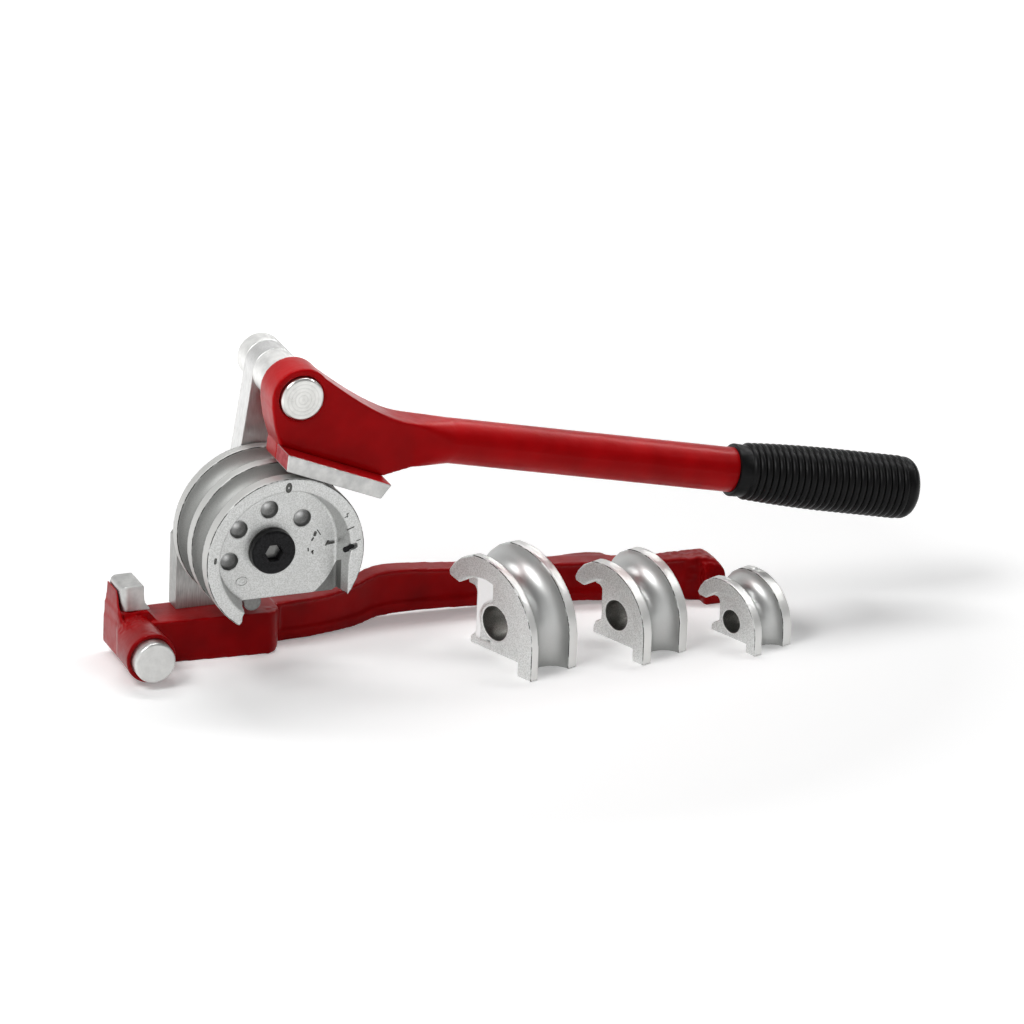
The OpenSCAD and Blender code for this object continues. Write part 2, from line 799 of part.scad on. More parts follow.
module loose_former(r, tube, bore, rise, form, at, pocket = 0) {
    w = form[0] + tube + loose_rear;
    deep = form[1];
    pocket_in = 3;
    place()
        translate([at[0], at[1], floor_z + rise])
            rotate([0, 0, loose_turn])
                difference() {
                    union() {
                        turned() loose_section(r, tube, form[0], w);
                        translate([0, 0, -rise])
                            linear_extrude(height = rise) {
                                loose_section(r, tube, form[0], w);
                                translate([-0.6 * r, 0]) square([0.6 * r + eps, w]);
                            }
                    }
                    translate([-2 * r, -eps, -rise - 2 * r]) cube([4 * r, w + 2 * eps, 2 * r]);
                    slab(-eps, w + eps) loose_cut(r, rise, form);
                    slab(-eps, deep) loose_open(r, rise, form);
                    rod(bore, -eps, w + eps);
                    if (pocket > 0)
                        intersection() {
                            slab(deep - eps, deep + pocket)
                                difference() {
                                    loose_open(r, rise, form);
                                    circle(r = bore + loose_boss);
                                    translate([-pocket_in, -2 * r]) square([4 * r, 4 * r]);
                                    translate([-2 * r, -2 * r]) square([4 * r, 2 * r - rise + 5]);
                                }
                            translate([-0.35 * r, deep, -r])
                                rotate([0, 0, 16]) translate([-r, -3 * r, 0]) cube([3 * r, 3 * r, 3 * r]);
                        }
                }
}

module former_large()
    color("#cacbca") loose_former(large_r, large_tube, large_bore, large_rise, large_form, large_at, 5);

module former_medium()
    color("#cacbca") loose_former(medium_r, medium_tube, medium_bore, medium_rise, medium_form, medium_at);

module former_small()
    color("#cacbca") loose_former(small_r, small_tube, small_bore, small_rise, small_form, small_at);

frame();
stop_block();
lower_pin();
support_plate();
support_screws();
spindle();
stop_pin();
former_double();
bolt_washer();
former_bolt();
front_washer();
rear_washer();
spindle_bush();
link_plate();
top_pin();
spacer_ring();
hub_nut();
lever_bush();
lever();
shoe();
grip();
former_large();
former_medium();
former_small();
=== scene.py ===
import math
import bmesh
import bpy
from mathutils import Matrix, Vector, noise


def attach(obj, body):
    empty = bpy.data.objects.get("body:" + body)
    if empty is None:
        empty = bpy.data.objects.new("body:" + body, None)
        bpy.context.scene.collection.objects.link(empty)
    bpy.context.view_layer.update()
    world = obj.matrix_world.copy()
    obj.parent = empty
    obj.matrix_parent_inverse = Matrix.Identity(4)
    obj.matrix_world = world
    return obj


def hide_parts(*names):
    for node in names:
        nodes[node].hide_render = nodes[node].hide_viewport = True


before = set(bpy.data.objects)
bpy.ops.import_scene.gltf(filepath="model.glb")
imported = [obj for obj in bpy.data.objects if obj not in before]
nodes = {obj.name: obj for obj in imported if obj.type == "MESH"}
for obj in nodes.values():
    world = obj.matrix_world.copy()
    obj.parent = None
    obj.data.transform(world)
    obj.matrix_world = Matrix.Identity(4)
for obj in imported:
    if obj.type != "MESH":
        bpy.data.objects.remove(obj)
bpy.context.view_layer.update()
print("frame loaded:", len(nodes), "nodes")

# The tool's own places are in millimetres from the spindle axis, at the front rim of the mounted former
spindleRow = Vector((0, -74.6, 87.5))


def place(x, y, z):
    return (Vector((x, y, z)) + spindleRow) / 1000


def linear(code):
    values = [int(code[i:i + 2], 16) / 255 for i in (1, 3, 5)]
    return tuple(v / 12.92 if v <= 0.04045 else ((v + 0.055) / 1.055) ** 2.4 for v in values) + (1,)


def addNode(tree, kind, *values, **named):
    # plain values fill the node's live sockets in turn, and a named one is a setting or else a socket
    node = tree.nodes.new("ShaderNode" + kind)
    pairs = []
    for name, value in named.items():
        if hasattr(node, name):
            setattr(node, name, value)
        else:
            pairs.append((node.inputs[name.replace("_", " ")], value))
    pairs += zip([socket for socket in node.inputs if socket.enabled], values)
    for socket, value in pairs:
        if isinstance(value, bpy.types.NodeSocket):
            tree.links.new(value, socket)
        else:
            socket.default_value = value
    return next(socket for socket in node.outputs if socket.enabled)


def newMaterial(name, **values):
    material = bpy.data.materials.new(name)
    material.use_nodes = True
    tree = material.node_tree
    shader = tree.nodes["Principled BSDF"]
    for socket, value in values.items():
        shader.inputs[socket.replace("_", " ")].default_value = value
    return material, tree, shader


def newObject(name, mesh, material, body, slot, *replaced):
    piece = bpy.data.objects.new(name, mesh)
    bpy.context.scene.collection.objects.link(piece)
    mesh.materials.clear()
    mesh.materials.append(material)
    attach(piece, body)
    if replaced:
        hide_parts(*replaced)
    return piece


def mergedMesh(node):
    bm = bmesh.new()
    bm.from_mesh(nodes[node].data)
    bmesh.ops.remove_doubles(bm, verts=bm.verts[:], dist=1e-6)
    return bm


def bakedMesh(piece, name):
    view = bpy.context.evaluated_depsgraph_get()
    mesh = bpy.data.meshes.new_from_object(piece.evaluated_get(view))
    mesh.name = name
    bpy.data.objects.remove(piece)
    return mesh


def castMesh(node, voxel, passes):
    # a casting has no sharp edge: the solid is remeshed in cubes of one size, then relaxed
    bm = mergedMesh(node)
    mesh = bpy.data.meshes.new(node + "Raw")
    bm.to_mesh(mesh)
    bm.free()
    piece = bpy.data.objects.new(node + "Raw", mesh)
    bpy.context.scene.collection.objects.link(piece)
    cubes = piece.modifiers.new("cubes", "REMESH")
    cubes.mode = "VOXEL"
    cubes.voxel_size = voxel / 1000
    cubes.use_smooth_shade = True
    relax = piece.modifiers.new("relax", "SMOOTH")
    relax.factor = 0.5
    relax.iterations = passes
    return bakedMesh(piece, node + "Cast")


def bevelledPiece(name, node, width, segments, material, body, slot):
    # a machined piece keeps its flats and gets narrow rounded edges
    bm = mergedMesh(node)
    bmesh.ops.dissolve_limit(bm, angle_limit=math.radians(0.4), verts=bm.verts[:], edges=bm.edges[:])
    sharp = [e for e in bm.edges if len(e.link_faces) == 2 and e.calc_face_angle(0) > math.radians(30)]
    bmesh.ops.bevel(bm, geom=sharp, offset=width / 1000, offset_type="OFFSET", affect="EDGES",
                    segments=segments, profile=0.5, clamp_overlap=True, material=-1)
    mesh = bpy.data.meshes.new(name)
    bm.to_mesh(mesh)
    bm.free()
    mesh.polygons.foreach_set("use_smooth", [True] * len(mesh.polygons))
    piece = newObject(name, mesh, material, body, slot, node)
    normals = piece.modifiers.new("normals", "WEIGHTED_NORMAL")
    normals.keep_sharp = True
    return piece


def turnedMesh(name, profile, turns):
    # spins a profile of radius and depth about the Y axis
    bm = bmesh.new()
    line = [bm.verts.new((p[0], p[1], 0)) for p in profile]
    edges = [bm.edges.new(pair) for pair in zip(line, line[1:])]
    bmesh.ops.spin(bm, geom=line + edges, cent=(0, 0, 0), axis=(0, 1, 0),
                   angle=2 * math.pi, steps=turns, use_merge=True)
    bmesh.ops.remove_doubles(bm, verts=bm.verts[:], dist=1e-4)
    bmesh.ops.recalc_face_normals(bm, faces=bm.faces[:])
    bmesh.ops.scale(bm, vec=(0.001,) * 3, verts=bm.verts[:])
    mesh = bpy.data.meshes.new(name)
    bm.to_mesh(mesh)
    bm.free()
    mesh.polygons.foreach_set("use_smooth", [True] * len(mesh.polygons))
    mesh.set_sharp_from_angle(angle=math.radians(40))
    return mesh


def mm(*lengths):
    return [length / 1000 for length in lengths]


def noiseValue(tree, sizeMm, detail=3.0, stretch=(1, 1, 1)):
    # the piece's own coordinates, turned from metres to the pattern's cells
    source = addNode(tree, "TexCoord").node.outputs["Object"]
    point = addNode(tree, "Mapping", Vector=source, Scale=tuple(1000 / sizeMm / s for s in stretch))
    return addNode(tree, "TexNoise", Vector=point, Scale=1.0, Detail=detail, Roughness=0.55)


def bumped(tree, shader, layers):
    # each layer is (height, depth in mm, strength), laid one over the other
    normal = None
    for height, depth, strength in layers:
        under = {"Normal": normal} if normal else {}
        normal = addNode(tree, "Bump", Height=height, Distance=depth / 1000, Strength=strength, **under)
    tree.links.new(normal, shader.inputs["Normal"])
    return normal


def mottled(tree, shader, pattern, low, high, first, second):
    # the colour goes from one shade to another with the pattern
    share = addNode(tree, "MapRange", pattern, low, high, 0, 1)
    shade = addNode(tree, "Mix", share, linear(first), linear(second), data_type="RGBA")
    tree.links.new(shade, shader.inputs["Base Color"])
    return shade


def patchy(tree, shader, smooth, rough, sizeMm, detail=3.0):
    # the finish goes from smooth to rough in patches, over the values that a noise pattern mostly has
    patches = noiseValue(tree, sizeMm, detail)
    tree.links.new(addNode(tree, "MapRange", patches, 0.3, 0.7, smooth, rough), shader.inputs["Roughness"])


def enamel(name, look):
    # Alkyd enamel sprayed on a casting: deep red, almost black in shade, with a narrow gloss and orange peel
    material, tree, shader = newMaterial(name, IOR=1.5, Specular_IOR_Level=0.4,
                                         Specular_Tint=linear("#d80a12"), Coat_Weight=look["gloss"],
                                         Coat_Roughness=0.07)
    red = mottled(tree, shader, noiseValue(tree, look["cloudMm"], 2), 0.35, 0.65, look["deep"], look["red"])
    # the edges of the castings are painted a lighter red where the mesh is pointed: a painted highlight along
    # each corner
    edge = addNode(tree, "NewGeometry").node.outputs["Pointiness"]
    edgeHighlight = addNode(tree, "MapRange", edge, 0.53, 0.6, 0, 0.45)
    red = addNode(tree, "Mix", edgeHighlight, red, linear(look["paintedHighlight"]), data_type="RGBA")
    tree.links.new(red, shader.inputs["Base Color"])
    patchy(tree, shader, 0.28, 0.4, 6)
    skin = bumped(tree, shader, [(noiseValue(tree, look["castMm"], 3), 0.5, 0.4),
                                 (noiseValue(tree, look["peelMm"], 2), 0.1, 0.45)])
    tree.links.new(skin, shader.inputs["Coat Normal"])
    return material


redEnamel = enamel("redEnamel", {"red": "#c2080f", "deep": "#a8050a", "paintedHighlight": "#dc343b", "gloss": 0.07,
                                 "cloudMm": 30, "peelMm": 3.0, "castMm": 12})
# the frame is a rougher casting, and its red is painted darker than the lever's: painted shade for the frame
# lying low under the formers and lever
shadedFrameEnamel = enamel("shadedFrameEnamel", {"red": "#a4050a", "deep": "#850307", "paintedHighlight": "#c9262c", "gloss": 0.07,
                                     "cloudMm": 30, "peelMm": 3.0, "castMm": 9})

# Die-cast aluminium tumbled in stones: pale grey with a coarse speckle on its faces, finer in the grooves,
# bright turned rims, and a thin dark line painted just inside each rim's edge; the look also holds the painted
# light and shade of grooves, dimples and bores
castLook = {"face": "#d8d9d8", "dark": "#bbbcba", "rim": "#c6c6c4", "line": "#3e3e3c", "dimpleShade": "#2c2a28",
            "groove": "#a9aaa8", "grooveShade": "#6c6c6a", "grooveRough": 0.58, "grooveLightRange": (-20, 40),
            "ring": "#f4f4f2", "boreShade": "#8f8e8a", "boreShadeDeep": "#5f5e5a", "grainMm": 0.8, "fineMm": 0.35,
            "blotchMm": 8, "lineMm": 0.24, "lineIn": 0.45}
# where the painted shade and painted highlight of each dimple fall, and the painted dark round its lip
dimpleLook = {"r": 5.6, "lip": (4.5, 5.3), "dimpleShade": (0.2, 4.6), "paintedHighlight": (-1, 3.5), "floor": (20.35, 4),
              "lowerRight": (0.78, 0, -0.62)}
white = (1, 1, 1, 1)


def rearOf(node, centre, turn):
    # how far the piece's rear face lies behind its front
    axis = Matrix.Rotation(math.radians(turn), 3, "Z") @ Vector((0, 1, 0))
    return max((vert.co - centre).dot(axis) for vert in nodes[node].data.vertices)


def tumbledMetal(name, look, node, centre, turn, rimR, rimFront, grooveR, straight, dimples=(),
                 pocket=None, bore=0):
    material, tree, shader = newMaterial(name, Metallic=1.0)
    source = addNode(tree, "TexCoord").node.outputs["Object"]
    local = addNode(tree, "Mapping", Vector=source, Location=tuple(centre),
                    Rotation=(0, 0, math.radians(turn)), vector_type="TEXTURE")
    parts = addNode(tree, "SeparateXYZ", local).node.outputs
    up = parts["Z"]
    if straight:
        up = addNode(tree, "Math", up, 0.0, operation="MAXIMUM")
    flat = addNode(tree, "CombineXYZ", X=parts["X"], Z=up)
    radius = addNode(tree, "VectorMath", flat, operation="LENGTH")
    grain = noiseValue(tree, look["grainMm"], 3)
    fine = noiseValue(tree, look["fineMm"], 3)
    blotch = noiseValue(tree, look["blotchMm"], 3)
    # the groove is where the tube runs: behind the front rim, ahead of the rear face and outside the web
    behind = addNode(tree, "Math", parts["Y"], *mm(rimFront + 0.3), operation="GREATER_THAN")
    outside = addNode(tree, "Math", radius, *mm(grooveR - 0.6), operation="GREATER_THAN")
    rear = rearOf(node, centre, turn) - 0.4 / 1000
    ahead = addNode(tree, "Math", parts["Y"], rear, operation="LESS_THAN")
    inGroove = addNode(tree, "Math", behind, outside, operation="MULTIPLY")
    inGroove = addNode(tree, "Math", inGroove, ahead, operation="MULTIPLY")
    onRim = addNode(tree, "MapRange", radius, *mm(rimR - 0.4, rimR - 0.12), 0, 1)
    speckle = addNode(tree, "MapRange", grain, 0.4, 0.58, 0, 1)
    clouds = addNode(tree, "MapRange", blotch, 0.35, 0.8, 0, 0.3)
    # the groove is painted paler at its top and darker lower down, painted light and shade, with fine streaks
    # of tone mixed in
    grooveLight = addNode(tree, "MapRange", parts["Z"], *mm(*look["grooveLightRange"]), 0, 0.75)
    streaks = addNode(tree, "MapRange", fine, 0.35, 0.6, 0, 0.25)
    grooveLight = addNode(tree, "Math", grooveLight, streaks, operation="ADD")
    grooveMetal = addNode(tree, "Mix", grooveLight, linear(look["grooveShade"]), linear(look["groove"]),
                          data_type="RGBA")
    line = addNode(tree, "Math", radius, *mm(rimR - look["lineIn"], look["lineMm"]), operation="COMPARE")
    broken = addNode(tree, "MapRange", noiseValue(tree, 7, 2), 0.36, 0.5, 0, 1)
    # each coat is laid over those before it where all its shares are high
    coats = [((speckle,), linear(look["face"])), ((clouds,), linear(look["dark"])), ((inGroove,), grooveMetal),
             ((onRim,), linear(look["rim"])), ((line, broken), linear(look["line"]))]
    for x, z in dimples:
        # each dimple is painted: painted shade in its lower right and round its lip, and a painted highlight
        # in its upper left
        away = addNode(tree, "VectorMath", flat, mm(x, 0, z), operation="SUBTRACT")
        far = addNode(tree, "VectorMath", away, operation="LENGTH")
        slope = addNode(tree, "VectorMath", away, dimpleLook["lowerRight"], operation="DOT_PRODUCT")
        dimpleShade = addNode(tree, "MapRange", slope, *mm(*dimpleLook["dimpleShade"]), 0, 0.55)
        lip = addNode(tree, "MapRange", far, *mm(*dimpleLook["lip"]), 0, 0.8)
        dimpleShade = addNode(tree, "Math", dimpleShade, lip, operation="MAXIMUM")
        paintedHighlight = addNode(tree, "MapRange", slope, *mm(*dimpleLook["paintedHighlight"]), 1, 0)
        near = addNode(tree, "Math", far, *mm(dimpleLook["r"]), operation="LESS_THAN")
        deep = addNode(tree, "Math", parts["Y"], *mm(*dimpleLook["floor"]), operation="COMPARE")
        coats += [((paintedHighlight, near, deep), white), ((dimpleShade, near, deep), linear(look["dimpleShade"]))]
    if bore:
        # the bore's wall is painted dark, painted shade inside the hole, and a thin ring at its edge is
        # painted near white, a painted highlight
        across = addNode(tree, "CombineXYZ", X=parts["X"], Z=parts["Z"])
        away = addNode(tree, "VectorMath", across, operation="LENGTH")
        ring = addNode(tree, "MapRange", away, *mm(bore + 0.9, bore + 0.6), 0, 0.8)
        wall = addNode(tree, "MapRange", away, *mm(bore + 0.3, bore + 0.1), 0, 1)
        boreMottle = addNode(tree, "MapRange", fine, 0.35, 0.6, 0, 1)
        boreShade = addNode(tree, "Mix", boreMottle, linear(look["boreShadeDeep"]), linear(look["boreShade"]), data_type="RGBA")
        coats += [((ring,), linear(look["ring"])), ((wall,), boreShade)]
    if pocket:
        # the pocket beside the bore is painted white: a painted highlight where its sloped floor faces the
        # lamps
        below = addNode(tree, "Math", parts["Y"], *mm(pocket["depth"]), operation="GREATER_THAN")
        shallow = addNode(tree, "Math", parts["Y"], *mm(pocket["floor"]), operation="LESS_THAN")
        clear = addNode(tree, "Math", radius, *mm(pocket["bossR"]), operation="GREATER_THAN")
        left = addNode(tree, "Math", parts["X"], *mm(pocket["right"]), operation="LESS_THAN")
        coats.append(((below, shallow, clear, left), white))
    colour = linear(look["dark"])
    for shares, top in coats:
        share = shares[0]
        for other in shares[1:]:
            share = addNode(tree, "Math", share, other, operation="MULTIPLY")
        colour = addNode(tree, "Mix", share, colour, top, data_type="RGBA")
    tree.links.new(colour, shader.inputs["Base Color"])
    rough = addNode(tree, "MapRange", grain, 0.3, 0.7, 0.4, 0.56)
    smooth = addNode(tree, "Math", inGroove, onRim, operation="MAXIMUM")
    rough = addNode(tree, "MapRange", Value=smooth, To_Min=rough, To_Max=look["grooveRough"])
    tree.links.new(rough, shader.inputs["Roughness"])
    pits = addNode(tree, "MapRange", Value=smooth, To_Min=grain, To_Max=0.5)
    bumped(tree, shader, [(blotch, 0.1, 0.4), (pits, 0.12, 0.7), (fine, 0.02, 0.5)])
    return material


def turnedSteel(name, face, roughness, centre, ringMm, ringDepth, ringShade):
    # Zinc-plated turned steel: bright and cool, with the fine rings that the lathe leaves on a face
    material, tree, shader = newMaterial(name, Metallic=1.0)
    source = addNode(tree, "TexCoord").node.outputs["Object"]
    spot = addNode(tree, "Mapping", Vector=source, Location=tuple(-c for c in centre), vector_type="POINT")
    flat = addNode(tree, "VectorMath", spot, (1, 0, 1), operation="MULTIPLY")
    radius = addNode(tree, "VectorMath", flat, operation="LENGTH")
    phase = addNode(tree, "Math", radius, 2000 * math.pi / ringMm, operation="MULTIPLY")
    ring = addNode(tree, "Math", phase, operation="SINE")
    steel = mottled(tree, shader, noiseValue(tree, 5, 3), 0.35, 0.65, face[0], face[1])
    cut = addNode(tree, "MapRange", ring, 0.2, 1, 0, ringShade)
    steel = addNode(tree, "Mix", cut, steel, linear("#8e8e8c"), data_type="RGBA")
    tree.links.new(steel, shader.inputs["Base Color"])
    patchy(tree, shader, roughness - 0.04, roughness + 0.06, 5)
    bumped(tree, shader, [(ring, ringDepth, 0.6), (noiseValue(tree, 0.8, 4), 0.012, 0.4)])
    return material


topPinPlace, lowerPinPlace = place(13.1, 0, 94.3), place(-72, 0, -69.9)
pinFace = turnedSteel("zincPlatedPin", ("#c8c8c5", "#dadad7"), 0.3, topPinPlace, 2.3, 0.02, 0.22)
lowerPinFace = turnedSteel("zincPlatedStud", ("#cfcfcd", "#dadad8"), 0.34, lowerPinPlace, 2.2, 0.006, 0.03)
brightSteel = turnedSteel("zincPlatedSteel", ("#dcdcda", "#ebebe9"), 0.45, topPinPlace, 1.1, 0.002, 0.04)

# Hot-rolled plate, shot-blasted: grey, matt, with short scratches along its length
plateSteel, tree, shader = newMaterial("blastedPlateSteel", Metallic=1.0)
brush = noiseValue(tree, 0.9, 4, (1, 1, 9))
mottled(tree, shader, brush, 0.3, 0.7, "#989896", "#b9b9b7")
patchy(tree, shader, 0.36, 0.5, 4)
bumped(tree, shader, [(brush, 0.03, 0.5)])

# The shoe's ground front: paler than the plate, with soft cloudy wear
shoeSteel, tree, shader = newMaterial("groundShoeSteel", Metallic=1.0)
mottled(tree, shader, noiseValue(tree, 7, 3), 0.3, 0.7, "#b0b0af", "#cececc")
patchy(tree, shader, 0.36, 0.5, 3)
bumped(tree, shader, [(noiseValue(tree, 0.8, 3, (6, 1, 1)), 0.03, 0.5)])

# The link: the same plate, cleaned brighter, with long brush marks
linkSteel, tree, shader = newMaterial("brushedLinkSteel", Metallic=1.0)
mottled(tree, shader, noiseValue(tree, 0.8, 4, (1, 1, 10)), 0.3, 0.7, "#c6c6c5", "#dadad9")
patchy(tree, shader, 0.36, 0.5, 5)
bumped(tree, shader, [(noiseValue(tree, 0.8, 3, (1, 1, 8)), 0.02, 0.5)])

# A mist of enamel over steel: pinkish red, dull
thinEnamel, tree, shader = newMaterial("enamelMist", Roughness=0.5, Specular_IOR_Level=0.3)
mottled(tree, shader, noiseValue(tree, 4, 3), 0.35, 0.65, "#a8262e", "#c5545b")
bumped(tree, shader, [(noiseValue(tree, 1.2, 3), 0.04, 0.5)])

# Machined steel in oil: darker grey, fine grain
darkSteel, tree, shader = newMaterial("oiledSteel", Metallic=1.0)
mottled(tree, shader, noiseValue(tree, 1.5, 4), 0, 1, "#5f5f5e", "#8b8b89")
patchy(tree, shader, 0.3, 0.45, 3)
bumped(tree, shader, [(noiseValue(tree, 0.7), 0.02, 0.5)])

# Black oxide on a cap screw: near black, satin, a little grey where the finish is thin
blackOxide, tree, shader = newMaterial("blackOxide", Metallic=0.6, Specular_IOR_Level=0.3)
mottled(tree, shader, noiseValue(tree, 1.1, 4), 0.35, 0.7, "#121213", "#262628")
patchy(tree, shader, 0.36, 0.5, 2)
bumped(tree, shader, [(noiseValue(tree, 0.5), 0.03, 0.5)])

# Moulded black rubber: matt with a soft sheen on the ribs and a dusty grain
blackRubber, tree, shader = newMaterial("mouldedRubber", IOR=1.5, Specular_IOR_Level=0.14)
mottled(tree, shader, noiseValue(tree, 2.5, 4), 0.35, 0.7, "#050506", "#0e0e0f")
patchy(tree, shader, 0.28, 0.42, 1.2)
bumped(tree, shader, [(noiseValue(tree, 0.6, 3), 0.04, 0.5)])

# Bearing bronze: warm, satin, fine turned grain
bronze, tree, shader = newMaterial("bearingBronze", Metallic=1.0)
mottled(tree, shader, noiseValue(tree, 1.2, 4), 0, 1, "#8f6a35", "#b8924f")
patchy(tree, shader, 0.3, 0.45, 3)
bumped(tree, shader, [(noiseValue(tree, 0.6), 0.02, 0.5)])
print("materials made")

for name, material in {
        "support_screws": blackOxide, "spindle": darkSteel, "bolt_washer": darkSteel, "front_washer": bronze,
        "rear_washer": bronze, "spindle_bush": bronze, "lever_bush": bronze}.items():
    nodes[name].data.materials.clear()
    nodes[name].data.materials.append(material)

leverShape = {"voxelMm": 0.9, "passes": 6}
mesh = castMesh("lever", leverShape["voxelMm"], leverShape["passes"])
newObject("paintedLever", mesh, redEnamel, "lever_arm", "red_paint", "lever")
print("lever:", len(mesh.polygons), "faces")

frameShape = {"voxelMm": 0.9, "passes": 6, "weldHeight": 0.9, "weldMm": 3.4}
mesh = castMesh("frame", frameShape["voxelMm"], frameShape["passes"])
# weld ripples round the stop block and the boss, and lumps where the leg is bent
weldSpots = [((-76, 58, -58), 11, 1.0), ((-70, 62, -52), 9, 0.9), ((-66, 52, -60), 8, 0.5),
             ((-73, 34, -52), 7, 0.6), ((292, 60, -66), 17, 0.9), ((282, 68, -62), 10, 0.7),
             ((14, 62, -62), 6, 0.5), ((16, 61, -80), 7, 0.5)]
bm = bmesh.new()
bm.from_mesh(mesh)
bm.normal_update()
spots = [(place(*where), size / 1000, share) for where, size, share in weldSpots]
for vert in bm.verts:
    lift = 0
    for where, size, share in spots:
        away = (vert.co - where).length / size
        if away < 1:
            lift = max(lift, share * (1 - away * away))
    if lift:
        coarse = noise.noise(vert.co * 1000 / frameShape["weldMm"])
        wave = coarse + 0.5 * noise.noise(vert.co * 2200 / frameShape["weldMm"])
        vert.co += vert.normal * lift * wave * frameShape["weldHeight"] / 1000
bm.to_mesh(mesh)
bm.free()
newObject("paintedFrame", mesh, shadedFrameEnamel, "base", "red_paint", "frame")
print("frame:", len(mesh.polygons), "faces")

formerShape = {"voxelMm": 0.72, "passes": 4}
mountedMetal = tumbledMetal("tumbledFormer", castLook, "former_double", place(0, 0, 0), 0, 50, 9, 41, False,
                            ((-29.6, -6), (-24, 13.9), (-4.9, 24.5), (16.1, 16.6)))
mesh = castMesh("former_double", formerShape["voxelMm"], formerShape["passes"])
newObject("mountedFormer", mesh, mountedMetal, "base", "tumbled_aluminium", "former_double")
print("mounted former:", len(mesh.polygons), "faces")

# the dial on the mounted former: a generic zero, degree ticks and a plain cast ring
# each stroke is from (X, Z) to (X, Z), its width, and the depth of the face that it is on
engravedDepth = 0.05
strokes = [
    (38.4, 12.6, 43.2, 14.4, 0.75, 0), (44.6, 4.9, 47.4, 5.7, 0.6, 0), (36.8, 20.9, 38.8, 21.8, 0.6, 0),
    (37.9, 22.9, 39.4, 23.6, 0.6, 0), (38.6, 20.8, 38.2, 23.4, 0.5, 0), (-44.3, 4.6, -44.7, 0.6, 1.7, 0),
    (24.8, 7.2, 24.0, 4.0, 1.9, 16), (23.6, 3.4, 22.2, 1.2, 1.2, 16), (20.2, -3.0, 20.4, -5.4, 0.9, 16),
    (22.0, -6.2, 23.8, -5.0, 0.9, 16), (23.0, -5.0, 23.4, -7.6, 0.9, 16), (25.6, 8.2, 28.0, 4.4, 0.7, 16),
    (31.6, -1.4, 36.8, -1.0, 1.5, 15.2), (31.2, -3.0, 33.0, 0.4, 1.0, 16)]
markMetal, tree, shader = newMaterial("engravedShadow", Metallic=0.7)
mottled(tree, shader, noiseValue(tree, 0.7, 2), 0.35, 0.6, "#3f3f3d", "#6d6d6a")
patchy(tree, shader, 0.55, 0.75, 1.4, 2)


def markMesh(name, strokes, deep):
    # each stroke is a thin bar let into the face, with its edges broken
    bm = bmesh.new()
    for x0, z0, x1, z1, width, y in strokes:
        run = Vector((x1 - x0, 0, z1 - z0))
        turn = Matrix.Rotation(-math.atan2(run.z, run.x), 4, "Y")
        where = Matrix.Translation(place((x0 + x1) / 2, y, (z0 + z1) / 2))
        size = Matrix.Diagonal((run.length / 1000, 2 * deep / 1000, width / 1000, 1))
        bar = bmesh.ops.create_cube(bm, size=1, matrix=where @ turn @ size)["verts"]
        upright = list({e for v in bar for e in v.link_edges
                        if abs(e.verts[0].co.y - e.verts[1].co.y) > deep / 1000})
        bmesh.ops.bevel(bm, geom=upright, offset=width * 0.4 / 1000, offset_type="OFFSET", affect="EDGES",
                        segments=3, profile=0.5, material=-1)
    mesh = bpy.data.meshes.new(name)
    bm.to_mesh(mesh)
    bm.free()
    return mesh


ticks = markMesh("dialTicks", strokes, engravedDepth)
newObject("dialTicks", ticks, markMetal, "base", "tumbled_aluminium")
zero = turnedMesh("dialZero", [(0.7, 0.1), (0.7, -0.05), (3.3, -0.05), (3.3, 0.1)], 48)
narrow = Matrix.Rotation(0.1, 4, "Y") @ Matrix.Diagonal((0.62, 1, 1, 1))
zero.transform(Matrix.Translation(place(0.8, 0, 44.3)) @ narrow)
newObject("dialZero", zero, markMetal, "base", "tumbled_aluminium")
castRing = turnedMesh("castRing", [(2.3, 0.2), (2.6, -0.4), (3.3, -0.4), (3.6, 0.2)], 48)
castRing.transform(Matrix.Translation(place(-21.4, 16, -19.9)) @ Matrix.Diagonal((1.15, 1, 0.9, 1)))
newObject("castRing", castRing, mountedMetal, "base", "tumbled_aluminium")
innerRing = turnedMesh("castRingInner", [(0.9, 0.2), (1.0, -0.2), (1.4, -0.2), (1.5, 0.2)], 32)
innerRing.transform(Matrix.Translation(place(-20.6, 16, -19.6)))
newObject("castRingInner", innerRing, mountedMetal, "base", "tumbled_aluminium")
# a black strip in the index slot beside the bolt: painted shade for the slot's dark inside
slotShade = markMesh("indexSlotShade", [(37.4, -1.5, 44.6, 0.6, 3.3, 2.7)], 0.4)
newObject("indexSlotShade", slotShade, blackOxide, "base", "black_oxide")
print("dial marks made")

